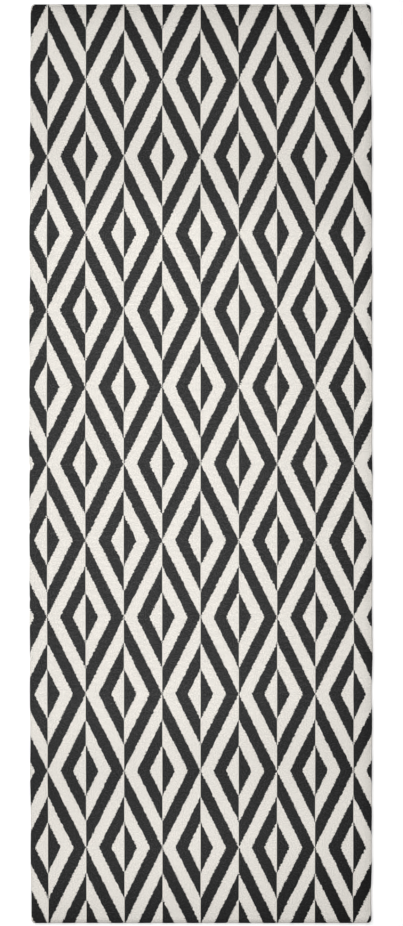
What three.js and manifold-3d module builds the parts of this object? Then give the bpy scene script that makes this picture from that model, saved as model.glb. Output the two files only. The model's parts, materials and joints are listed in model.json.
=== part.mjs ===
// A hemmed runner rug with a low printed pile, lying flat on the floor.
//
// Three layers lie on each other: a backing cloth, a film of bond and the face cloth. The
// face cloth wraps round the edge of the other two and turns under them as a flap. A row of
// lockstitch along each side goes through all of it: its needle thread shows on top, in the
// groove that it pulls, and its bobbin thread shows in the flap underneath. The flap lifts
// the hem by its own thickness, and inside the hem the layers settle down to the floor.
//
// Millimetres. X runs across the rug, Y along it and Z up. The origin is the middle of the
// underside, on the floor. The head is the +Y end and the foot is the -Y end.

import * as THREE from 'three';
import { mergeVertices } from 'three/addons/utils/BufferGeometryUtils.js';
import Module from 'manifold-3d';

const wasm = await Module();
wasm.setup();

// ---------- Driving dimensions ----------

const rugWidth = 908;
const rugLength = 2442;
const cornerRadius = 11;

const faceThickness = 2.4;
const bondThickness = 0.4;
const backingThickness = 1.2;
const layerGap = 0.3; // air left between two layers that lie on each other

const flapWidth = 10; // face cloth turned under the edge, measured in from the edge
const settleStart = 0.8; // how far past the flap the hem keeps its full height
const settleWidth = 22; // where the layers come down from the hem to the floor
const edgeFlat = 0.3; // height of the upright band between the two rounds of the edge

const stitchInset = 6.5; // from the edge in to each row of stitches
const rowTail = 1.5; // how far a row stops short of the row that it would meet
const threadDiameter = 0.6;
const threadGap = 0.3;
const mitreWidth = 1.2; // cut across the flap at each corner, where two flaps meet

const labelWidth = 60;
const labelHeight = 40;
const labelThickness = 0.2;
const labelGap = 0.3;
const labelFromSide = 60; // from the left edge in to the label
const labelFromFoot = 70; // from the foot edge in to the label

const beyond = 20; // how far a cutting solid runs past what it cuts

// ---------- Heights and places that follow from them ----------

const hemRise = faceThickness + layerGap;
const bondBottom = backingThickness + layerGap;
const bondTop = bondBottom + bondThickness;
const faceBottom = bondTop + layerGap;
const fieldHeight = faceBottom + faceThickness;
const hemHeight = fieldHeight + hemRise;
const edgeRound = (hemHeight - edgeFlat) / 2;
const filling = faceThickness + layerGap; // from the edge in to the layers inside the fold

const grooveWidth = threadDiameter + 2 * threadGap;
const grooveDepth = threadDiameter + threadGap;
const rowShort = Math.max(stitchInset, cornerRadius - stitchInset) + rowTail;

// ---------- Solids and booleans ----------

/** Turns a closed geometry into a solid that can be joined and cut. */
function solidOf(geometry) {
  const bare = geometry.clone();
  bare.deleteAttribute('normal');
  bare.deleteAttribute('uv');
  const merged = mergeVertices(bare, 1e-4);
  return new wasm.Manifold(new wasm.Mesh({
    numProp: 3,
    vertProperties: new Float32Array(merged.attributes.position.array),
    triVerts: new Uint32Array(merged.index.array),
  }));
}

/** Turns a solid back into a geometry for a mesh. */
function geometryOf(solid) {
  const mesh = solid.getMesh();
  const geometry = new THREE.BufferGeometry();
  geometry.setAttribute('position', new THREE.BufferAttribute(mesh.vertProperties, 3));
  geometry.setIndex(new THREE.BufferAttribute(mesh.triVerts, 1));
  geometry.computeVertexNormals();
  return geometry;
}

// ---------- Shapes that the layers are cut from ----------

/** The rug's outline, taken in by `inset` all round. */
function outline(inset) {
  const x = rugWidth / 2 - inset;
  const y = rugLength / 2 - inset;
  const radius = Math.max(cornerRadius - inset, 1);
  const shape = new THREE.Shape();
  shape.absarc(x - radius, y - radius, radius, 0, Math.PI / 2);
  shape.absarc(-x + radius, y - radius, radius, Math.PI / 2, Math.PI);
  shape.absarc(-x + radius, -y + radius, radius, Math.PI, 1.5 * Math.PI);
  shape.absarc(x - radius, -y + radius, radius, 1.5 * Math.PI, 2 * Math.PI);
  return shape;
}

/** A flat plate of the rug's outline, taken in by `inset`, between two heights. */
function plate(inset, bottom, top) {
  const options = { depth: top - bottom, bevelEnabled: false, curveSegments: 8 };
  const geometry = new THREE.ExtrudeGeometry(outline(inset), options);
  geometry.translate(0, 0, bottom);
  return solidOf(geometry);
}

/** The rug's outer body at the hem's full height, with its edge rounded above and below. */
function foldedEnvelope() {
  const options = {
    depth: edgeFlat,
    bevelThickness: edgeRound,
    bevelSize: edgeRound,
    bevelOffset: -edgeRound,
    bevelSegments: 5,
    curveSegments: 8,
  };
  const geometry = new THREE.ExtrudeGeometry(outline(0), options);
  geometry.translate(0, 0, edgeRound);
  return solidOf(geometry);
}

/** A bar whose top is `lift` high in the middle and rises to the hem at both its sides. */
function settlingBar(span, run, lift) {
  const side = span / 2 + beyond;
  const crest = span / 2 - flapWidth - settleStart;
  const foot = crest - settleWidth;
  const middle = (crest + foot) / 2;
  const high = lift + hemRise;

  const profile = new THREE.Shape();
  profile.moveTo(-side, -beyond);
  profile.lineTo(side, -beyond);
  profile.lineTo(side, high);
  profile.lineTo(crest, high);
  profile.bezierCurveTo(middle, high, middle, lift, foot, lift);
  profile.lineTo(-foot, lift);
  profile.bezierCurveTo(-middle, lift, -middle, high, -crest, high);
  profile.lineTo(-side, high);

  const depth = run + 2 * beyond;
  const options = { depth, bevelEnabled: false, curveSegments: 6 };
  const geometry = new THREE.ExtrudeGeometry(profile, options);
  geometry.translate(0, 0, -depth / 2);
  geometry.rotateX(Math.PI / 2);
  return geometry;
}

/** Everything below a cloth that lies `lift` above the floor and climbs over the flap. */
function belowCloth(lift) {
  const acrossRug = settlingBar(rugWidth, rugLength, lift);
  const alongRug = settlingBar(rugLength, rugWidth, lift).rotateZ(Math.PI / 2);
  return solidOf(acrossRug).add(solidOf(alongRug));
}

/** A layer that follows the hem and the field, between two heights over the field's floor. */
function layer(inset, bottom, top) {
  const upright = plate(inset, -beyond, hemHeight + beyond);
  return belowCloth(top).subtract(belowCloth(bottom)).intersect(upright);
}

// ---------- Rows of stitches ----------

const seamX = rugWidth / 2 - stitchInset;
const seamY = rugLength / 2 - stitchInset;
const sideRow = rugLength - 2 * rowShort;
const endRow = rugWidth - 2 * rowShort;
const rows = [
  { name: 'left', x: -seamX, y: 0, length: sideRow, turn: 0 },
  { name: 'right', x: seamX, y: 0, length: sideRow, turn: 0 },
  { name: 'head', x: 0, y: seamY, length: endRow, turn: Math.PI / 2 },
  { name: 'foot', x: 0, y: -seamY, length: endRow, turn: Math.PI / 2 },
];

/** The room that one row's thread lies in, open at the face that it shows on. */
function groove(row, bottom, top) {
  const geometry = new THREE.BoxGeometry(grooveWidth, row.length + 2 * threadGap, top - bottom);
  geometry.rotateZ(row.turn);
  geometry.translate(row.x, row.y, (bottom + top) / 2);
  return solidOf(geometry);
}

/** One row's thread, laid straight at the height of its middle. */
function threadMesh(kind, row, height, material) {
  const radius = threadDiameter / 2;
  const mesh = new THREE.Mesh(new THREE.CylinderGeometry(radius, radius, row.length, 12), material);
  mesh.name = `${kind}_thread_${row.name}`;
  mesh.position.set(row.x, row.y, height);
  mesh.rotation.z = row.turn;
  return mesh;
}

// ---------- Layers ----------

/** The cut across the flap at one corner, so that its two sides meet without a lump. */
function mitreCut(signX, signY) {
  const inner = flapWidth + mitreWidth;
  const outer = cornerRadius - (cornerRadius - edgeRound) / Math.SQRT2;
  const length = (inner - outer) * Math.SQRT2;
  const height = beyond + faceThickness + layerGap / 2;
  const geometry = new THREE.BoxGeometry(length, mitreWidth, height);
  geometry.rotateZ(signX * signY * Math.PI / 4);
  const middle = (inner + outer) / 2;
  const x = signX * (rugWidth / 2 - middle);
  const y = signY * (rugLength / 2 - middle);
  geometry.translate(x, y, height / 2 - beyond);
  return solidOf(geometry);
}

/** The printed cloth: the whole top, the rounded edge and the flap turned under it. */
function makeFaceCloth() {
  const pocket = plate(faceThickness, faceThickness, hemHeight).intersect(belowCloth(faceBottom));
  const opening = plate(flapWidth, -beyond, hemHeight).intersect(belowCloth(faceBottom));
  let cloth = foldedEnvelope().intersect(belowCloth(fieldHeight));
  cloth = cloth.subtract(pocket).subtract(opening);
  for (const row of rows) {
    cloth = cloth.subtract(groove(row, hemHeight - grooveDepth, hemHeight + beyond));
    cloth = cloth.subtract(groove(row, -beyond, grooveDepth));
  }
  for (const signX of [-1, 1]) {
    for (const signY of [-1, 1]) {
      cloth = cloth.subtract(mitreCut(signX, signY));
    }
  }
  return geometryOf(cloth);
}

/** The film that holds the face cloth to the backing. */
function makeBondFilm() {
  return geometryOf(layer(filling, bondBottom, bondTop));
}

const labelX = -rugWidth / 2 + labelFromSide + labelWidth / 2;
const labelY = -rugLength / 2 + labelFromFoot + labelHeight / 2;

/** The cloth that lies on the floor, with a shallow seat for the label. */
function makeBackingCloth() {
  const seatHeight = labelThickness + labelGap + beyond;
  const seat = new THREE.BoxGeometry(labelWidth + 2 * labelGap, labelHeight + 2 * labelGap, seatHeight);
  seat.translate(labelX, labelY, seatHeight / 2 - beyond);
  return geometryOf(layer(filling, 0, backingThickness).subtract(solidOf(seat)));
}

// ---------- The rug ----------

const clothMaterial = new THREE.MeshStandardMaterial({ color: '#ddd9d2', roughness: 0.95, metalness: 0 });
const bondMaterial = new THREE.MeshStandardMaterial({ color: '#d9d6cc', roughness: 0.6, metalness: 0 });
const backingMaterial = new THREE.MeshStandardMaterial({ color: '#c9c0ae', roughness: 0.95, metalness: 0 });
const threadMaterial = new THREE.MeshStandardMaterial({ color: '#302f2e', roughness: 0.7, metalness: 0 });
const labelMaterial = new THREE.MeshStandardMaterial({ color: '#f2f1ee', roughness: 0.5, metalness: 0 });

const rug = new THREE.Group();

const layers = [
  ['face_cloth', makeFaceCloth(), clothMaterial],
  ['bond_film', makeBondFilm(), bondMaterial],
  ['backing_cloth', makeBackingCloth(), backingMaterial],
];
for (const [name, geometry, material] of layers) {
  const mesh = new THREE.Mesh(geometry, material);
  mesh.name = name;
  rug.add(mesh);
}

for (const row of rows) {
  rug.add(threadMesh('needle', row, hemHeight - threadDiameter / 2, threadMaterial));
  rug.add(threadMesh('bobbin', row, threadDiameter / 2, threadMaterial));
}

const label = new THREE.Mesh(new THREE.BoxGeometry(labelWidth, labelHeight, labelThickness), labelMaterial);
label.name = 'care_label';
label.position.set(labelX, labelY, labelThickness / 2);
rug.add(label);

export default rug;
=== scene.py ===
# %% [markdown]
# # A printed runner rug, hemmed all round
#
# The rug is three layers of cloth that lie on each other on the floor: a woven backing, a
# film of bond and a face cloth with a low chenille pile. The face cloth wraps round the edge
# and turns under, and a row of lockstitch holds the turned edge on every side.
#
# The solid model of the rug is loaded first. It is plain, but every size comes from it, so
# the cloth made here sits exactly where the solid one is. X runs across the rug, Y along it
# and Z up, in metres, and the floor is at zero.

# %% Load the solid model
import json
import math

import bmesh
import bpy
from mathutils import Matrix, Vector, noise


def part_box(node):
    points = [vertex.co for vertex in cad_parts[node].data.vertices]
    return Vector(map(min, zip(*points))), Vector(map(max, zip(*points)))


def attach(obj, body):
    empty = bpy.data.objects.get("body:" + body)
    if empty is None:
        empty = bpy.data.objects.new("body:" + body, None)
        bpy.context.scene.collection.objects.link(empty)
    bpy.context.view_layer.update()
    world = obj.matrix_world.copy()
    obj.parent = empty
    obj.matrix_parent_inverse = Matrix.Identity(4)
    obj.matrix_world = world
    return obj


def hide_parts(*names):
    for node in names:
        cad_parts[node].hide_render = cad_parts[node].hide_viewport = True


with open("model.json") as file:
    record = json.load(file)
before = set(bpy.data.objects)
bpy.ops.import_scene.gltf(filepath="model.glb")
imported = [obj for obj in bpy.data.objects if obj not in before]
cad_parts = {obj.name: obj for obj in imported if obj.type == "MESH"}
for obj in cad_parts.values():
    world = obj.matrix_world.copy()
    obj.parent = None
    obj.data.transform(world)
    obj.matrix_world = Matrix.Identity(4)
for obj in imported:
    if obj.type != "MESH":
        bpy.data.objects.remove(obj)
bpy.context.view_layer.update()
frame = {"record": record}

MM = 0.001

# %% [markdown]
# ## Sizes
#
# The boxes of the layers give their thicknesses. The turned edge lifts everything that lies
# on it, so a layer's box is taller than the layer is thick by that lift, which is the
# difference between the hem's height and the height of the field inside it.

# %% Read the sizes
rug_low, rug_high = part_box("face_cloth")
backing_low, backing_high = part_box("backing_cloth")
bond_low, bond_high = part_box("bond_film")
needle_low, needle_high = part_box("needle_thread_left")

half_width = rug_high.x
half_length = rug_high.y
hem_height = rug_high.z
mounts = {mount["name"]: mount for mount in frame["record"]["mounts"]}
field_height = mounts["tread_face"]["pos_m"][2]

hem_rise = hem_height - field_height
backing_thickness = backing_high.z - hem_rise
layer_gap = bond_low.z - backing_thickness
bond_thickness = bond_high.z - bond_low.z - hem_rise
face_thickness = hem_rise - layer_gap

filling_inset = half_width - backing_high.x
stitch_inset = half_width + (needle_low.x + needle_high.x) / 2
thread_thickness = needle_high.x - needle_low.x
corner_radius = 11 * MM
flap_width = 10 * MM
fold_radius = hem_height / 2
print("face, bond and backing thickness, mm:",
      [round(part / MM, 2) for part in (face_thickness, bond_thickness, backing_thickness)])

# %% [markdown]
# ## Camera
#
# The rug is looked at from straight above. A long lens far away keeps the edges of the cloth
# from leaning outwards. The view is a little longer than the rug, and its long side is the
# side that the sensor's width is measured along.

# %% Place the camera
view_length = 2461.3 * MM
camera_data = bpy.data.cameras.new("camera")
camera_data.lens = 85
camera_data.sensor_width = 36
camera = bpy.data.objects.new("camera", camera_data)
bpy.context.collection.objects.link(camera)
camera_height = view_length * camera_data.lens / camera_data.sensor_width + field_height
camera.location = (0.9 * MM, 1.6 * MM, camera_height)
bpy.context.scene.camera = camera
print("camera height, m:", round(camera_height, 3))

# %% [markdown]
# ## Floor and light
#
# The floor is a white sheet that glows a little, painted light in place of a light table, so that it
# stays white while the rug's edge still darkens it where the two meet. Its painted glow grows further
# out, past an oblong of the long lamp's shape, where no lamp reaches. A long soft light hangs low
# over the rug, so the middle is a little brighter than the ends. A smaller one stands far out
# towards the head's left and lights the cloth at a slant, which gives every fold its shaded
# side. Both hide from the camera. Plain view settings keep the colours as they are.

# %% Make the floor
def add_object(name, mesh):
    """Puts a finished mesh into the scene as an object at the origin."""
    piece = bpy.data.objects.new(name, mesh)
    bpy.context.collection.objects.link(piece)
    return piece


def finish_mesh(name, bm, smooth=True):
    """Turns a bmesh into an object with smooth or flat faces."""
    mesh = bpy.data.meshes.new(name)
    bm.to_mesh(mesh)
    bm.free()
    for face in mesh.polygons:
        face.use_smooth = smooth
    piece = add_object(name, mesh)
    print(name, "has", len(mesh.polygons), "faces")
    return piece


floor_reach = 40
floor_drop = 0.2 * MM
floor_mesh = bmesh.new()
bmesh.ops.create_grid(floor_mesh, x_segments=1, y_segments=1, size=floor_reach)
bmesh.ops.translate(floor_mesh, vec=(0, 0, -floor_drop), verts=floor_mesh.verts)
floor = finish_mesh("floor", floor_mesh, smooth=False)

lamp_stretch = (2.2, 1, 1)
glow_starts = 1.75
glow_is_full = 3.2
near_glow = 0.18
far_glow = 0.75
floor_material = bpy.data.materials.new("floor_white")
floor_material.use_nodes = True
floor_nodes = floor_material.node_tree.nodes
floor_links = floor_material.node_tree.links
floor_shader = floor_nodes["Principled BSDF"]
floor_shader.inputs["Base Color"].default_value = (0.93, 0.93, 0.93, 1)
floor_shader.inputs["Roughness"].default_value = 1.0
floor_shader.inputs["Specular IOR Level"].default_value = 0.0
floor_shader.inputs["Emission Color"].default_value = (1, 1, 1, 1)
floor_place = floor_nodes.new("ShaderNodeTexCoord")
oblong = floor_nodes.new("ShaderNodeVectorMath")
oblong.operation = "MULTIPLY"
oblong.inputs[1].default_value = lamp_stretch
floor_links.new(floor_place.outputs["Object"], oblong.inputs[0])
far_out = floor_nodes.new("ShaderNodeVectorMath")
far_out.operation = "LENGTH"
floor_links.new(oblong.outputs["Vector"], far_out.inputs[0])
# Painted light: the floor's glow, weaker near the rug and stronger far out.
glow = floor_nodes.new("ShaderNodeMapRange")
glow.interpolation_type = "SMOOTHSTEP"
for socket, value in (("From Min", glow_starts), ("From Max", glow_is_full),
                      ("To Min", near_glow), ("To Max", far_glow)):
    glow.inputs[socket].default_value = value
floor_links.new(far_out.outputs["Value"], glow.inputs["Value"])
floor_links.new(glow.outputs["Result"], floor_shader.inputs["Emission Strength"])
floor.data.materials.append(floor_material)

# %% Hang the lights
def add_softbox(name, place, target, size, power):
    """A rectangular light at a place, aimed at a target."""
    data = bpy.data.lights.new(name, "AREA")
    data.shape = "RECTANGLE"
    data.size, data.size_y = size
    data.energy = power
    lamp = bpy.data.objects.new(name, data)
    lamp.location = place
    aim = Vector(target) - Vector(place)
    lamp.rotation_euler = aim.to_track_quat("-Z", "Y").to_euler()
    lamp.visible_camera = False
    bpy.context.collection.objects.link(lamp)
    return lamp


lamp_height = 0.9
lamp_off_x = -0.07
lamp_off_y = -0.17
add_softbox("overhead_light", (lamp_off_x, lamp_off_y, lamp_height), (lamp_off_x, lamp_off_y, 0),
            (1.85, 3.7), 30)
add_softbox("side_light", (-3.8, 3.0, 3.4), (0, 0, 0), (1.2, 1.2), 116)

world = bpy.data.worlds.new("studio")
world.use_nodes = True
world.node_tree.nodes["Background"].inputs["Color"].default_value = (1, 1, 1, 1)
world.node_tree.nodes["Background"].inputs["Strength"].default_value = 0.067
bpy.context.scene.world = world
bpy.context.scene.view_settings.view_transform = "Standard"

# %% [markdown]
# ## How the cloth lies
#
# Nothing on a real rug is quite straight. The sides bulge a little towards the middle of the
# rug and wander by a millimetre or so, and the field has low ripples and, over the middle of
# its length, fine creases from side to side where it was rolled. These are plain functions of
# the place on the cloth, so that every layer and every stitch follows the same ones.

# %% Functions for the lie of the cloth
def ease(value, start, end):
    """0 before start, 1 after end and a smooth step between."""
    share = min(max((value - start) / (end - start), 0), 1)
    return share * share * (3 - 2 * share)


def inset_of(x, y):
    """How far in from the rug's edge a place is."""
    from_side = half_width - abs(x)
    from_end = half_length - abs(y)
    if from_side < corner_radius and from_end < corner_radius:
        reach = math.hypot(corner_radius - from_side, corner_radius - from_end)
        return corner_radius - reach
    return min(from_side, from_end)


side_wander = 2.0
end_sway = 0.5
foot_slack = 0.6
hem_reach = 0.10
pucker_width = 0.005
# Puckers in the left hem: how far along the rug they are, in metres, and how deep, in mm.
puckers = [(0.17, 1.5), (0.08, 1), (-0.01, 2), (-0.18, 1.5), (-0.36, 1.5), (-0.52, 1.5)]


def laid(x, y, z):
    """Where a point of a perfectly straight rug comes to lie."""
    along = y / half_length
    if x < 0:
        bulge = -(2.5 + 0.9 * along - 4.2 * along ** 2)
    else:
        bulge = 1.0 - 0.4 * along - 3.3 * along ** 2
    wander = noise.noise(Vector((math.copysign(4, x), y / 0.11, 0)))
    near_side = ease(abs(x), half_width - hem_reach, half_width)
    shift_x = bulge * abs(x) / half_width + side_wander * wander * near_side
    if x < 0:
        pinch = sum(depth * math.exp(-((y - spot) / pucker_width) ** 2) for spot, depth in puckers)
        shift_x += pinch * ease(-x, half_width - 0.03, half_width)
    sway = noise.noise(Vector((x / 0.12, math.copysign(7, y), 3)))
    near_end = ease(abs(y), half_length - hem_reach, half_length)
    shift_y = (end_sway * sway - (foot_slack if y < 0 else 0)) * near_end
    return Vector((x + shift_x * MM, y + shift_y * MM, z))


def crease_strength(y):
    """How strongly the field is creased at a distance along the rug, from 0 to 1."""
    middle = ease(y, -0.74, -0.66) * (1 - ease(y, 0.52, 0.64))
    waist = ease(y, -0.26, -0.16) * (1 - ease(y, 0.10, 0.22))
    lower = ease(y, -0.76, -0.66) * (1 - ease(y, -0.50, -0.42))
    return 0.35 * middle + 0.4 * waist + 0.45 * lower


settle_start = 0.8 * MM
settle_width = 22 * MM
ripple_height = 0.9
crease_height = 0.5


def ride(x, y):
    """How high the layers ride over the place where they would lie on the bare floor."""
    inset = inset_of(x, y)
    settled = flap_width + settle_start + settle_width
    on_flap = 1 - ease(inset, flap_width + settle_start, settled)
    field = ease(inset, 15 * MM, 45 * MM)
    ripple = noise.noise(Vector((x / 0.45, y / 0.16, 1.7)))
    crease = noise.noise(Vector((x / 0.045, y / 0.0095, 5.1)))
    low_wave = ripple_height * max(ripple + 0.2, 0)
    fine_wave = crease_height * crease_strength(y) * (crease + 1)
    return hem_rise * on_flap + field * (low_wave + fine_wave) * MM


# %% [markdown]
# ## A cloth grid
#
# Each layer starts as a flat grid. Its lines are not evenly spaced: they are close together
# at the hem, where the cloth bends most, and closer along the creased middle than elsewhere.
# The grid's corner squares are turned into quarter discs, ring by ring, which gives the cloth
# its round corners without a single triangle.

# %% Helpers for the grid
def lines_over(half, edge_insets, field_step):
    """Places of the grid lines from one edge to the other, dense at the edges."""
    edge = [half - inset for inset in edge_insets]
    lines = [-place for place in edge]
    while True:
        place = lines[-1] + field_step(lines[-1])
        if place > edge[-1] - 0.4 * field_step(place):
            break
        lines.append(place)
    return lines + edge[::-1]


def round_corner(x, y, half_x, half_y, radius):
    """Moves a point of a rectangle to its place in the rectangle with round corners."""
    over_x = abs(x) - (half_x - radius)
    over_y = abs(y) - (half_y - radius)
    if over_x <= 0 or over_y <= 0:
        return x, y
    reach = max(over_x, over_y)
    turn = math.pi / 4 * min(over_x, over_y) / reach
    if over_y > over_x:
        turn = math.pi / 2 - turn
    round_x = half_x - radius + reach * math.cos(turn)
    round_y = half_y - radius + reach * math.sin(turn)
    return math.copysign(round_x, x), math.copysign(round_y, y)


def cloth_grid(inset, edge_insets, step_x, step_y):
    """A flat sheet of the rug's outline taken in by an inset, as a bmesh grid."""
    half_x = half_width - inset
    half_y = half_length - inset
    columns = lines_over(half_x, edge_insets, step_x)
    rows = lines_over(half_y, edge_insets, step_y)
    bm = bmesh.new()
    bmesh.ops.create_grid(bm, x_segments=len(columns) - 1, y_segments=len(rows) - 1, size=1)
    for vert in bm.verts:
        column = round((vert.co.x + 1) / 2 * (len(columns) - 1))
        row = round((vert.co.y + 1) / 2 * (len(rows) - 1))
        place = round_corner(columns[column], rows[row], half_x, half_y, corner_radius - inset)
        vert.co = (*place, 0)
    return bm


def turn_faces(bm, upwards):
    """Turns an open sheet over, if need be, so that most of its area looks up or down."""
    bmesh.ops.recalc_face_normals(bm, faces=bm.faces)
    lean = sum(face.normal.z * face.calc_area() for face in bm.faces)
    if (lean > 0) != upwards:
        bmesh.ops.reverse_faces(bm, faces=bm.faces)


# %% [markdown]
# ## Face cloth
#
# The face cloth is one sheet: the top, the round of the edge and the flap under it. The grid
# makes the top as far as the edge's round. From there the border is pushed outwards one ring
# at a time, round the fold and back in under the rug, and every new ring is set to its place.
# Each point remembers where it was on the flat cloth, because the print was on the cloth
# before the edge was turned: the print then runs round the edge as it does on the real rug.
# A dent on both sides of the hem is the groove that the stitches pull into the pile. The row
# at the head is pulled tight and shows as a line; the other rows sink into the pile.

# %% Make the face cloth
tight_groove = 1.1 * MM
loose_groove = 0.35 * MM
groove_reach = 1.0 * MM


def groove(inset, depth):
    """How far a row of stitches pulls the cloth in at an inset."""
    return depth * math.exp(-((inset - stitch_inset) / groove_reach) ** 2)


def top_groove(x, y):
    """How far the stitches pull the pile down at a place on top."""
    at_head = ease(y, half_length - 2 * corner_radius, half_length - corner_radius)
    depth = loose_groove + (tight_groove - loose_groove) * at_head
    return groove(inset_of(x, y), depth)


fine_step = 4.6 * MM
wide_step = 7.6 * MM
creased_from = -0.76
creased_to = 0.62
field_column = 15 * MM


def crease_step(y):
    """Row spacing: fine where the cloth is creased, wider elsewhere."""
    return fine_step if creased_from < y < creased_to else wide_step


hem_lines = [mark * MM for mark in (0, 0.9, 1.9, 2.85, 3.8, 5.0, 7.35, 10.5, 15, 20, 26, 33)]
face = cloth_grid(fold_radius, hem_lines, lambda x: field_column, crease_step)
on_flat = face.verts.layers.float_vector.new("on_flat")
border_spot = face.verts.layers.int.new("border_spot")

spots = []
for vert in face.verts:
    x, y = vert.co.x, vert.co.y
    vert[on_flat] = (x, y, 0)
    if vert.is_boundary:
        corner = Vector((max(abs(x) - half_width + corner_radius, 0),
                         max(abs(y) - half_length + corner_radius, 0)))
        outward = Vector((math.copysign(corner.x, x), math.copysign(corner.y, y))).normalized()
        vert[border_spot] = len(spots)
        spots.append((Vector((x, y)), outward))
    vert.co = laid(x, y, field_height + ride(x, y) - top_groove(x, y))

fold_turns = [(angle, fold_radius * math.radians(angle)) for angle in range(30, 181, 30)]
half_turn = fold_radius * math.pi
flap_insets = [stitch_inset - groove_reach, stitch_inset, stitch_inset + groove_reach, flap_width]

rings = []
for angle, travel in fold_turns:
    turn = math.radians(angle)
    rings.append((fold_radius * math.sin(turn), fold_radius * (1 + math.cos(turn)), travel))
for inset in flap_insets:
    rings.append((fold_radius - inset, groove(inset, tight_groove), half_turn + inset - fold_radius))

ring_edges = [edge for edge in face.edges if edge.is_boundary]
for outward_reach, height, travel in rings:
    pushed = bmesh.ops.extrude_edge_only(face, edges=ring_edges)["geom"]
    for vert in [part for part in pushed if isinstance(part, bmesh.types.BMVert)]:
        spot, outward = spots[vert[border_spot]]
        place = spot + outward * outward_reach
        vert.co = laid(place.x, place.y, height)
        flat_place = spot + outward * travel
        vert[on_flat] = (flat_place.x, flat_place.y, 0)
    ring_edges = [part for part in pushed if isinstance(part, bmesh.types.BMEdge)]

turn_faces(face, upwards=True)
print("rings round the fold:", len(rings), "cut cloth reaches out to, mm:",
      round((half_width - fold_radius + rings[-1][2]) / MM, 1))

# %% [markdown]
# The sheet is now given its thickness, inwards, so that its outside stays where it is. Two
# maps are laid on it. One holds each point's place on the flat cloth in metres and carries
# the print. The other is for baking: the side that shows fills nearly all of the square, and
# the inner side, which nobody sees, gets a narrow strip.

# %% Thicken the face cloth and lay its maps
cut_half_x = half_width - fold_radius + rings[-1][2]
cut_half_y = half_length - fold_radius + rings[-1][2]
outer_faces = set(face.faces)
bmesh.ops.solidify(face, geom=face.faces[:], thickness=face_thickness)
cloth_map = face.loops.layers.uv.new("cloth")
bake_map = face.loops.layers.uv.new("OFBake")
for part in face.faces:
    shown = part in outer_faces
    for loop in part.loops:
        place = loop.vert[on_flat]
        loop[cloth_map].uv = (place.x, place.y)
        across = (place.x / cut_half_x + 1) / 2
        along = (place.y / cut_half_y + 1) / 2
        bake_x = 0.01 + 0.93 * across if shown else 0.96 + 0.03 * across
        loop[bake_map].uv = (bake_x, 0.01 + 0.98 * along)
face_cloth = finish_mesh("face_cloth_pile", face)
zs = [v.co.z for v in face_cloth.data.vertices]
print("face cloth heights, mm:", round(min(zs) / MM, 2), round(max(zs) / MM, 2))

# %% [markdown]
# ## Bond film and backing
#
# Both lie inside the fold and follow the same ride over the flap. The backing is what the rug
# lies on, so its underside shows when the rug is turned over.

# %% Make the bond film and the backing
def inner_layer(name, bottom, thickness, step):
    """A layer inside the fold, from a height over the floor upwards."""
    insets = [mark * MM for mark in (0, 3, 8.3, 12, 16, 21, 27, 33)]
    bm = cloth_grid(filling_inset, insets, lambda x: step, lambda y: step)
    for vert in bm.verts:
        vert.co = laid(vert.co.x, vert.co.y, bottom + ride(vert.co.x, vert.co.y))
    turn_faces(bm, upwards=False)
    bmesh.ops.solidify(bm, geom=bm.faces[:], thickness=thickness)
    return finish_mesh(name, bm)


bond_film = inner_layer("bond_film_latex", bond_low.z, bond_thickness, 24 * MM)
backing_cloth = inner_layer("backing_cloth_weave", 0, backing_thickness, 16 * MM)
for layer in (bond_film, backing_cloth):
    heights = [v.co.z for v in layer.data.vertices]
    print(layer.name, "heights, mm:", round(min(heights) / MM, 2), round(max(heights) / MM, 2))

# %% [markdown]
# ## Rows of stitches
#
# A lockstitch is two threads. The needle thread lies on top in short bars and dives through
# the hem at the end of each one, where it loops round the bobbin thread that does the same
# underneath. Each thread is one long tube. A narrow grid has as many columns as the tube has
# sides, and each of its rows is wrapped round the thread's path, so the tube is closed by
# merging its two long edges and filling its ends.

# %% Make the threads
stitch_length = 4.0 * MM
thread_sides = 6
# Along one stitch: the share of its length, and how far it lies under its crown, in mm.
stitch_path = [(0.0, 1.0), (0.1, 0.5), (0.28, 0.06), (0.5, 0.0), (0.72, 0.06), (0.9, 0.5)]


def stitched_thread(name, node, crown):
    """A thread whose stitches have their crowns at a height and dive into the hem between."""
    low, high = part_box(node)
    middle = (low + high) / 2
    runs_along = high.y - low.y > high.x - low.x
    length = max(high.x - low.x, high.y - low.y)
    stitches = round(length / stitch_length)
    pitch = length / stitches
    steps = stitches * len(stitch_path)
    bm = bmesh.new()
    bmesh.ops.create_grid(bm, x_segments=thread_sides, y_segments=steps, size=1)
    for vert in bm.verts:
        around = 2 * math.pi * round((vert.co.x + 1) / 2 * thread_sides) / thread_sides
        stitch, mark = divmod(round((vert.co.y + 1) / 2 * steps), len(stitch_path))
        share, dive = stitch_path[mark]
        travel = (stitch + share) * pitch - length / 2
        radius = thread_thickness / 2 * (0.8 if dive > 0.8 else 1)
        inwards = math.copysign(dive * MM, hem_height / 2 - crown)
        x = middle.x + (radius * math.cos(around) if runs_along else travel)
        y = middle.y + (travel if runs_along else radius * math.cos(around))
        vert.co = laid(x, y, crown + inwards + radius * math.sin(around))
    bmesh.ops.remove_doubles(bm, verts=bm.verts, dist=0.01 * MM)
    bmesh.ops.holes_fill(bm, edges=[edge for edge in bm.edges if edge.is_boundary])
    bmesh.ops.recalc_face_normals(bm, faces=bm.faces)
    return finish_mesh(name, bm)


crown_offset = 0.2 * MM
bobbin_crown = tight_groove - 0.5 * MM
threads = {}
for side in ("left", "right", "head", "foot"):
    needle, bobbin = f"needle_thread_{side}", f"bobbin_thread_{side}"
    if side == "head":
        crown = hem_height - tight_groove + crown_offset
    else:
        crown = hem_height - loose_groove - crown_offset
    threads[needle] = stitched_thread(f"needle_stitches_{side}", needle, crown)
    threads[bobbin] = stitched_thread(f"bobbin_stitches_{side}", bobbin, bobbin_crown)
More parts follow.
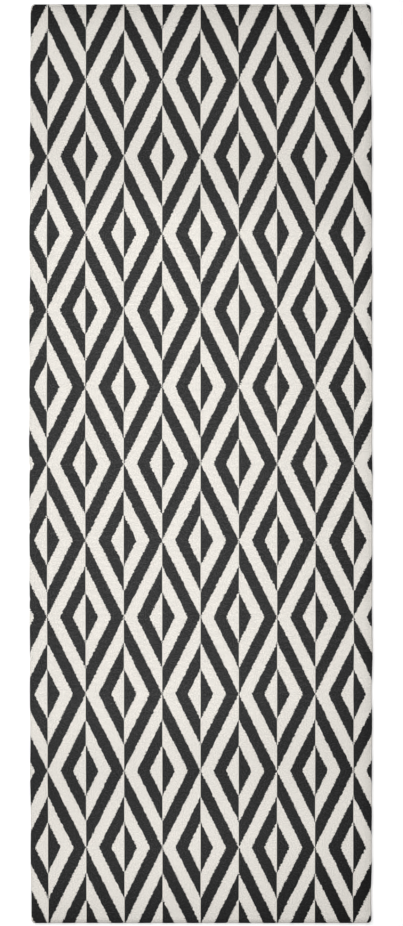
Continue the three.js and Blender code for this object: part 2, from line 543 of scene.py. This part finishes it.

# %% [markdown]
# ## Care label
#
# A blank strip of woven tape is bonded to the backing near the foot. It is a small grid bent
# very slightly where it follows the cloth, with a thin thickness.

# %% Make the label
label_low, label_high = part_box("care_label")
label_middle = (label_low + label_high) / 2
label_size = label_high - label_low
label_curl = 0.1 * MM
label = bmesh.new()
bmesh.ops.create_grid(label, x_segments=24, y_segments=16, size=0.5)
for vert in label.verts:
    x = label_middle.x + vert.co.x * label_size.x
    y = label_middle.y + vert.co.y * label_size.y
    curl = label_curl * (1 + noise.noise(Vector((x / 0.02, y / 0.02, 9))))
    vert.co = laid(x, y, curl)
turn_faces(label, upwards=False)
bmesh.ops.solidify(label, geom=label.faces[:], thickness=label_size.z)
care_label = finish_mesh("care_label_tape", label)

# %% [markdown]
# ## Shader helpers
#
# Every finish is worked out by shader nodes. One helper adds a node with its settings and
# inputs, one adds a sum, and one starts a node group with named sockets. A group is built once
# and placed in each material that needs it, with that material's own values.

# %% Helpers for shader nodes
def add_node(tree, kind, inputs=None, **settings):
    """Adds a node, sets it up and feeds its inputs with values or with other sockets."""
    node = tree.nodes.new(kind)
    for setting, value in settings.items():
        setattr(node, setting, value)
    for key, value in (inputs or {}).items():
        if isinstance(value, bpy.types.NodeSocket):
            tree.links.new(value, node.inputs[key])
        else:
            node.inputs[key].default_value = value
    return node


def sum_of(tree, operation, *values):
    """The result of one Math node."""
    return add_node(tree, "ShaderNodeMath", dict(enumerate(values)), operation=operation).outputs[0]


def blend_colours(tree, share, first, second, how="MIX"):
    """The colour that one Mix node gives."""
    inputs = {"Factor": share, 6: first, 7: second}
    node = add_node(tree, "ShaderNodeMix", inputs, data_type="RGBA", blend_type=how)
    return node.outputs[2]


def start_group(name, inputs, outputs):
    """A new shader node group and the nodes at its two ends."""
    group = bpy.data.node_groups.new(name, "ShaderNodeTree")
    for socket, value in inputs.items():
        kind = "NodeSocketVector" if value is None else "NodeSocketFloat"
        made = group.interface.new_socket(socket, in_out="INPUT", socket_type=kind)
        if value is not None:
            made.default_value = value
    for socket in outputs:
        group.interface.new_socket(socket, in_out="OUTPUT", socket_type="NodeSocketFloat")
    start = group.nodes.new("NodeGroupInput").outputs
    end = group.nodes.new("NodeGroupOutput").inputs
    return group, start, end


def place_group(tree, group, inputs):
    """Places a group in a material and feeds it."""
    node = tree.nodes.new("ShaderNodeGroup")
    node.node_tree = group
    for key, value in inputs.items():
        if isinstance(value, bpy.types.NodeSocket):
            tree.links.new(value, node.inputs[key])
        else:
            node.inputs[key].default_value = value
    return node.outputs


def tint(tree, shader, colour, tone):
    """Feeds the base colour with a colour made lighter or darker by a tone."""
    shaded = add_node(tree, "ShaderNodeCombineColor", {0: tone, 1: tone, 2: tone}).outputs[0]
    tree.links.new(blend_colours(tree, 1.0, colour, shaded, "MULTIPLY"), shader.inputs["Base Color"])


# %% [markdown]
# ## Printed diamonds
#
# The print is a net of diamonds twice as long as they are wide. Each diamond has a core and
# two rings of equal width, and it is split down its middle: one half runs dark, light, dark
# from the core outwards and the other half light, dark, light. Slanting coordinates, the sum
# and the difference of the two straight ones, turn the diamonds into squares, and the larger
# of the two distances from a square's middle says which ring a point is in. A yarn lies across
# the rug and takes the ink as a whole, so every point is first moved to the middle of its own
# yarn, and every short stretch of yarn a little further by chance. The slanting borders then
# run in small uneven steps, while the splits that run along the rug stay straight.

# %% Group for the print
diamonds, start, end = start_group(
    "printed_diamonds",
    {"Place": None, "Row": 0.0, "Off Row": 0.0, "Middle": 0.0, "Half Width": 0.1,
     "Half Length": 0.2, "Creep": 0.001},
    ["Dark"],
)
tree = diamonds
place = add_node(tree, "ShaderNodeSeparateXYZ", {"Vector": start["Place"]}).outputs
stretches_per_metre = 80.0
stretch = sum_of(tree, "FLOOR", sum_of(tree, "MULTIPLY", place[0], stretches_per_metre))
yarn_place = add_node(tree, "ShaderNodeCombineXYZ", {0: stretch, 1: start["Row"]}).outputs[0]
creep = add_node(tree, "ShaderNodeTexWhiteNoise", {"Vector": yarn_place},
                 noise_dimensions="2D").outputs[0]
creeping = sum_of(tree, "MULTIPLY", sum_of(tree, "SUBTRACT", creep, 0.5), start["Creep"])
straying = sum_of(tree, "SUBTRACT", creeping, start["Off Row"])
across = sum_of(tree, "DIVIDE", sum_of(tree, "SUBTRACT", place[0], start["Middle"]), start["Half Width"])
along = sum_of(tree, "DIVIDE", sum_of(tree, "ADD", place[1], straying), start["Half Length"])
slants = []
for operation in ("ADD", "SUBTRACT"):
    slant = sum_of(tree, operation, across, along)
    slants.append(sum_of(tree, "SUBTRACT", sum_of(tree, "FLOORED_MODULO", slant, 2.0), 1.0))
distance = sum_of(tree, "MAXIMUM", *[sum_of(tree, "ABSOLUTE", slant) for slant in slants])
ring = sum_of(tree, "FLOOR", sum_of(tree, "MULTIPLY", distance, 3.0))
even_ring = sum_of(tree, "SUBTRACT", 1.0, sum_of(tree, "FLOORED_MODULO", ring, 2.0))
left_half = sum_of(tree, "LESS_THAN", sum_of(tree, "ADD", *slants), 0.0)
dark = sum_of(tree, "ABSOLUTE", sum_of(tree, "SUBTRACT", even_ring, left_half))
tree.links.new(dark, end["Dark"])
print("print group has", len(tree.nodes), "nodes")

# %% [markdown]
# ## Fibre, ribs and weave
#
# Three more groups make the cloth. The fibre group is fine fuzz with a soft mottle under it,
# for anything spun. The rib group is for chenille, whose fluffy yarns lie side by side across
# the rug: round ridges that wander a little, so that no two are the same width, with painted
# shade in the valleys between them, and a tone that changes slowly along each yarn. It also
# says which yarn a point is on, for the print. The weave group is a plain over-and-under
# weave for the backing and the label's tape, with painted shade where a thread dips under the other.

# %% Group for spun fibre
fibre, start, end = start_group(
    "spun_fibre", {"Place": None, "Fineness": 1500.0, "Mottle": 150.0}, ["Height", "Shade"]
)
tree = fibre
fuzz = add_node(tree, "ShaderNodeTexNoise",
                {"Vector": start["Place"], "Scale": start["Fineness"], "Detail": 3.0, "Roughness": 0.6})
mottle = add_node(tree, "ShaderNodeTexNoise",
                  {"Vector": start["Place"], "Scale": start["Mottle"], "Detail": 2.0})
tree.links.new(fuzz.outputs[0], end["Height"])
tree.links.new(sum_of(tree, "MULTIPLY_ADD", fuzz.outputs[0], 0.3,
                      sum_of(tree, "MULTIPLY", mottle.outputs[0], 0.7)), end["Shade"])

# %% Group for chenille ribs
ribs, start, end = start_group(
    "chenille_ribs", {"Place": None, "Pitch": 0.003},
    ["Height", "Shade", "Yarn", "Row", "Off Row"]
)
tree = ribs
slow = add_node(tree, "ShaderNodeMapping", {"Vector": start["Place"], "Scale": (25, 30, 1)})
wander = add_node(tree, "ShaderNodeTexNoise", {"Vector": slow.outputs[0], "Scale": 1.0, "Detail": 1.0})
place = add_node(tree, "ShaderNodeSeparateXYZ", {"Vector": start["Place"]}).outputs
rows = sum_of(tree, "MULTIPLY_ADD", wander.outputs[0], 4.0,
              sum_of(tree, "DIVIDE", place[1], start["Pitch"]))
row = sum_of(tree, "FLOOR", rows)
from_middle = sum_of(tree, "SUBTRACT", sum_of(tree, "SUBTRACT", rows, row), 0.5)
tree.links.new(row, end["Row"])
tree.links.new(sum_of(tree, "MULTIPLY", from_middle, start["Pitch"]), end["Off Row"])
ridge = sum_of(tree, "ABSOLUTE", sum_of(tree, "SINE", sum_of(tree, "MULTIPLY", rows, math.pi)))
combed = add_node(tree, "ShaderNodeMapping", {"Vector": start["Place"], "Scale": (1400, 500, 1)})
tuft = add_node(tree, "ShaderNodeTexNoise", {"Vector": combed.outputs[0], "Scale": 1.0, "Detail": 2.0})
tree.links.new(sum_of(tree, "MULTIPLY_ADD", ridge, 0.6, sum_of(tree, "MULTIPLY", tuft.outputs[0], 0.4)),
               end["Height"])
# Painted shade: the valleys between the yarns are painted darker.
tree.links.new(sum_of(tree, "POWER", ridge, 0.5), end["Shade"])
drawn = add_node(tree, "ShaderNodeMapping", {"Vector": start["Place"], "Scale": (34, 120, 1)})
yarn = add_node(tree, "ShaderNodeTexNoise", {"Vector": drawn.outputs[0], "Scale": 1.0, "Detail": 1.0})
tree.links.new(yarn.outputs[0], end["Yarn"])

# %% Group for plain weave
weave, start, end = start_group("plain_weave", {"Place": None, "Pitch": 0.001}, ["Height", "Shade"])
tree = weave
place = add_node(tree, "ShaderNodeSeparateXYZ", {"Vector": start["Place"]}).outputs
counts = [sum_of(tree, "DIVIDE", place[axis], start["Pitch"]) for axis in (0, 1)]
rounds = [sum_of(tree, "ABSOLUTE", sum_of(tree, "SINE", sum_of(tree, "MULTIPLY", count, math.pi)))
          for count in counts]
steps = sum_of(tree, "ADD", *[sum_of(tree, "FLOOR", count) for count in counts])
over = sum_of(tree, "FLOORED_MODULO", steps, 2.0)
under = sum_of(tree, "SUBTRACT", 1.0, over)
height = sum_of(tree, "MULTIPLY_ADD", rounds[0], over, sum_of(tree, "MULTIPLY", rounds[1], under))
tree.links.new(height, end["Height"])
# Painted shade: the weave is painted darker where a thread dips under the other.
tree.links.new(sum_of(tree, "MULTIPLY_ADD", height, 0.7, 0.3), end["Shade"])

# %% [markdown]
# ## Painted shade and sheen of the pile
#
# This group paints light and shade into the pile's colour. Towards the ends the pile is
# painted a shade deeper than in the middle. Along the hem it is painted darker, a painted
# shade of the fold, most of all at the two ends. Towards the ends, bands 0.4 m apart are
# painted a shade lighter and deeper by turns. The dark print is painted lighter in the
# middle than towards the ends and sides, a painted sheen. One group makes all this, with a
# slow noise that bends the borders.

# %% Group for the painted shade and sheen of the pile
# Painted bands of light and shade towards the ends: how far apart they are and how strong.
painted_band_spacing = 0.4
painted_band_tone = 0.015

pile_shade_group, start, end = start_group(
    "painted_pile_shade",
    {"Place": None, "Half Width": 0.45, "Half Length": 1.2, "Hem": 0.025},
    ["Ends", "Painted End Shade", "Painted Rim Shade", "Painted Head Shade", "Painted Foot Shade", "Painted Sheen", "Painted Bands"],
)
tree = pile_shade_group
drift = add_node(tree, "ShaderNodeTexNoise", {"Vector": start["Place"], "Scale": 7.0, "Detail": 2.0})
place = add_node(tree, "ShaderNodeSeparateXYZ", {"Vector": start["Place"]}).outputs
from_middle = sum_of(tree, "ABSOLUTE", place[1])
askew = sum_of(tree, "MULTIPLY_ADD", place[0], 0.11, from_middle)
reach = sum_of(tree, "MULTIPLY_ADD", drift.outputs[0], 0.08, sum_of(tree, "SUBTRACT", askew, 0.04))
# Painted shade: the ends are painted a shade deeper than the middle, with a border that lies askew; it
# is deepest at the head.
painted_end_mask = add_node(tree, "ShaderNodeMapRange", {"Value": reach, 1: 0.62, 2: 0.72},
                   interpolation_type="SMOOTHSTEP").outputs[0]
foot_share = sum_of(tree, "MULTIPLY_ADD", sum_of(tree, "GREATER_THAN", place[1], 0.0), 0.7, 0.3)
tree.links.new(painted_end_mask, end["Ends"])
tree.links.new(sum_of(tree, "MULTIPLY", painted_end_mask, foot_share), end["Painted End Shade"])
# Painted shade along the hem, where the fold rounds away from the light; it reaches further in at the
# ends.
shifted_across = sum_of(tree, "ABSOLUTE", sum_of(tree, "ADD", place[0], 0.014))
from_side = sum_of(tree, "SUBTRACT", start["Half Width"], shifted_across)
from_end = sum_of(tree, "SUBTRACT", start["Half Length"], from_middle)
inset = sum_of(tree, "MINIMUM", from_side, sum_of(tree, "MULTIPLY", from_end, 0.35))
rim = add_node(tree, "ShaderNodeMapRange", {"Value": inset, 1: start["Hem"], 2: 0.0},
               interpolation_type="SMOOTHSTEP").outputs[0]
tree.links.new(rim, end["Painted Rim Shade"])
# Painted shade over the fold at the head and at the foot.
for fold, side, wide in (("Painted Head Shade", 1, 24 * MM), ("Painted Foot Shade", -1, 14 * MM)):
    from_fold = sum_of(tree, "MULTIPLY_ADD", place[1], -side, start["Half Length"])
    painted_fold_mask = add_node(tree, "ShaderNodeMapRange", {"Value": from_fold, 1: wide, 2: 0.0},
                       interpolation_type="SMOOTHSTEP")
    tree.links.new(painted_fold_mask.outputs[0], end[fold])
# Painted sheen: the dark print is painted lighter in the middle, falling off towards the ends and the
# sides.
aside = sum_of(tree, "ABSOLUTE", sum_of(tree, "ADD", place[0], 0.13))
aside_loss = sum_of(tree, "POWER", sum_of(tree, "DIVIDE", aside, 0.75), 2.5)
ahead_loss = sum_of(tree, "POWER", sum_of(tree, "DIVIDE", from_middle, 1.42), 2.9)
painted_sheen = sum_of(tree, "SUBTRACT", sum_of(tree, "SUBTRACT", 1.0, aside_loss), ahead_loss)
tree.links.new(sum_of(tree, "MAXIMUM", painted_sheen, 0.0), end["Painted Sheen"])
# Painted bands, lighter and deeper by turns, only towards the ends.
band_wave = sum_of(tree, "COSINE", sum_of(tree, "MULTIPLY", reach, 2 * math.pi / painted_band_spacing))
outer_band_mask = add_node(tree, "ShaderNodeMapRange", {"Value": from_middle, 1: 0.4, 2: 0.8},
                       interpolation_type="SMOOTHSTEP").outputs[0]
bands = sum_of(tree, "MULTIPLY", band_wave, outer_band_mask)
tree.links.new(sum_of(tree, "MULTIPLY", bands, -painted_band_tone), end["Painted Bands"])
print("lie group has", len(tree.nodes), "nodes")

# %% [markdown]
# ## Pile of the face cloth
#
# The pile is warm white with a charcoal print, and it is matt. The print was laid on undyed
# yarn, so light fibres show through it as flecks: the dark parts are far more uneven, for
# their depth, than the light ones. The painted shade and sheen come from the masks above.

# %% Material for the face cloth
def new_material(name):
    """A material and its Principled shader."""
    material = bpy.data.materials.new(name)
    material.use_nodes = True
    return material, material.node_tree, material.node_tree.nodes["Principled BSDF"]


light_pile = (0.72, 0.692, 0.644, 1)
# The print's colour where there is no painted sheen, and the same print lightened by painted sheen in
# the middle.
deep_print = (0.012, 0.012, 0.0121, 1)
print_with_painted_sheen = (0.0333, 0.0333, 0.0336, 1)
half_diamond_width = 101.6 * MM
half_diamond_length = 204.1 * MM
print_offset = -1.5 * MM
yarn_pitch = 1.9 * MM
print_creep = 8 * MM
# How far in from the edge the painted shade along the hem reaches.
painted_rim_reach = 25 * MM

pile, tree, shader = new_material("printed_chenille_pile")
cloth_place = add_node(tree, "ShaderNodeUVMap", uv_map="cloth").outputs[0]
ribbed = place_group(tree, ribs, {"Place": cloth_place, "Pitch": yarn_pitch})
printed = place_group(tree, diamonds, {"Place": cloth_place, "Row": ribbed["Row"],
                                       "Off Row": ribbed["Off Row"], "Middle": print_offset,
                                       "Half Width": half_diamond_width,
                                       "Half Length": half_diamond_length, "Creep": print_creep})
spun = place_group(tree, fibre, {"Place": cloth_place, "Fineness": 900.0, "Mottle": 330.0})
painted_pile = place_group(tree, pile_shade_group, {"Place": cloth_place, "Half Width": half_width,
                                  "Half Length": half_length, "Hem": painted_rim_reach})

dark = printed["Dark"]
# Painted sheen: the print is painted lighter where the sheen mask is high.
print_and_painted_sheen = blend_colours(tree, painted_pile["Painted Sheen"], deep_print, print_with_painted_sheen)
dyed = blend_colours(tree, dark, light_pile, print_and_painted_sheen)
# Partly a random tone along each yarn and partly painted shade of the creases: it is strongest in the
# creased middle and weaker at the ends.
crease_shade_strength = sum_of(tree, "MULTIPLY_ADD", painted_pile["Ends"], -0.1, 0.12)
yarn_tone_and_crease_shade = sum_of(tree, "MULTIPLY", sum_of(tree, "SUBTRACT", ribbed["Yarn"], 0.5), crease_shade_strength)
flecks_and_painted_shade = sum_of(tree, "ADD", sum_of(tree, "SUBTRACT", spun["Shade"], 0.5), yarn_tone_and_crease_shade)
# The painted bands go in with the flecks.
flecks_and_painted_shade = sum_of(tree, "ADD", flecks_and_painted_shade, painted_pile["Painted Bands"])
fleck_contrast = sum_of(tree, "MULTIPLY_ADD", dark, 5.0, 1.4)
flecks_and_painted_shade_tone = sum_of(tree, "EXPONENT", sum_of(tree, "MULTIPLY", flecks_and_painted_shade, fleck_contrast))
# Painted shade in the valleys between the yarns.
rib_shade = sum_of(tree, "MULTIPLY_ADD", ribbed["Shade"], 0.25, 0.81)
# Painted shade at the ends.
end_shade = sum_of(tree, "MULTIPLY_ADD", painted_pile["Painted End Shade"], -0.05, 1.0)
# Painted shade along the hem, deeper on the dark print.
rim_depth = sum_of(tree, "MULTIPLY_ADD", dark, -0.10, -0.085)
rim_shade = sum_of(tree, "MULTIPLY_ADD", painted_pile["Painted Rim Shade"], rim_depth, 1.0)
# Painted shade over the folds at the head and the foot.
head_depth = sum_of(tree, "MULTIPLY_ADD", dark, -0.26, -0.04)
foot_depth = sum_of(tree, "MULTIPLY_ADD", dark, 0.10, -0.26)
head_shade = sum_of(tree, "MULTIPLY_ADD", painted_pile["Painted Head Shade"], head_depth, 1.0)
fold_shade = sum_of(tree, "MULTIPLY_ADD", painted_pile["Painted Foot Shade"], foot_depth, head_shade)
lit = sum_of(tree, "MULTIPLY", flecks_and_painted_shade_tone, rib_shade)
for shade in (end_shade, rim_shade, fold_shade):
    lit = sum_of(tree, "MULTIPLY", lit, shade)
tint(tree, shader, dyed, lit)
roughness = sum_of(tree, "MULTIPLY_ADD", spun["Height"], 0.2, 0.8)
tree.links.new(roughness, shader.inputs["Roughness"])
shader.inputs["Specular IOR Level"].default_value = 0.1
shader.inputs["Sheen Weight"].default_value = 0.03
shader.inputs["Sheen Roughness"].default_value = 0.5
height = sum_of(tree, "MULTIPLY_ADD", spun["Height"], 0.5, ribbed["Height"])
bump = add_node(tree, "ShaderNodeBump", {"Strength": 0.5, "Distance": 0.8 * MM, "Height": height})
tree.links.new(bump.outputs[0], shader.inputs["Normal"])

# %% Materials for backing, bond, thread and label
def cloth_material(name, colour, roughness, pitch, depth, fineness, mottle):
    """A plain woven cloth of one colour."""
    material, tree, shader = new_material(name)
    place = add_node(tree, "ShaderNodeTexCoord").outputs["Object"]
    woven = place_group(tree, weave, {"Place": place, "Pitch": pitch})
    spun = place_group(tree, fibre, {"Place": place, "Fineness": fineness, "Mottle": mottle})
    # The tone holds the weave's painted shade and the fibre's mottle.
    tone = sum_of(tree, "MULTIPLY", sum_of(tree, "MULTIPLY_ADD", woven["Shade"], 0.35, 0.65),
                  sum_of(tree, "MULTIPLY_ADD", spun["Shade"], 0.6, 0.7))
    tint(tree, shader, colour, tone)
    tree.links.new(sum_of(tree, "MULTIPLY_ADD", spun["Height"], 0.2, roughness - 0.1),
                   shader.inputs["Roughness"])
    height = sum_of(tree, "MULTIPLY_ADD", spun["Height"], 0.3, woven["Height"])
    bump = add_node(tree, "ShaderNodeBump", {"Strength": 0.6, "Distance": depth, "Height": height})
    tree.links.new(bump.outputs[0], shader.inputs["Normal"])
    return material


def spun_material(name, colour, roughness, depth, fineness, mottle):
    """A finish with no weave: thread or latex."""
    material, tree, shader = new_material(name)
    place = add_node(tree, "ShaderNodeTexCoord").outputs["Object"]
    spun = place_group(tree, fibre, {"Place": place, "Fineness": fineness, "Mottle": mottle})
    tone = sum_of(tree, "MULTIPLY_ADD", spun["Shade"], 0.8, 0.6)
    tint(tree, shader, colour, tone)
    tree.links.new(sum_of(tree, "MULTIPLY_ADD", spun["Height"], 0.2, roughness - 0.1),
                   shader.inputs["Roughness"])
    bump = add_node(tree, "ShaderNodeBump",
                    {"Strength": 0.5, "Distance": depth, "Height": spun["Height"]})
    tree.links.new(bump.outputs[0], shader.inputs["Normal"])
    return material


canvas = cloth_material("undyed_canvas", (0.60, 0.54, 0.43, 1), 0.9, 1.4 * MM, 0.5 * MM, 1500.0, 60.0)
tape = cloth_material("label_tape", (0.88, 0.87, 0.85, 1), 0.5, 0.4 * MM, 0.1 * MM, 4000.0, 120.0)
latex = spun_material("bond_latex", (0.66, 0.62, 0.52, 1), 0.6, 0.2 * MM, 400.0, 50.0)
# A charcoal thread, made darker than the solid model's thread so that it also paints the shade in the
# groove at the head.
thread = spun_material("hem_thread", (0.014, 0.0137, 0.0133, 1), 0.8, 0.1 * MM, 5000.0, 900.0)

# %% [markdown]
# ## Put the rug together
#
# Each piece gets its finish, rides on the rug's one body and stands for its solid.

parts = [
    (face_cloth, "face_cloth", "face_pile", pile),
    (bond_film, "bond_film", "bond", latex),
    (backing_cloth, "backing_cloth", "backing", canvas),
    (care_label, "care_label", "label", tape),
]
parts += [(piece, node, "thread", thread) for node, piece in threads.items()]
for piece, node, slot, material in parts:
    piece.data.materials.append(material)
    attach(piece, "root")
    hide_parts(node)
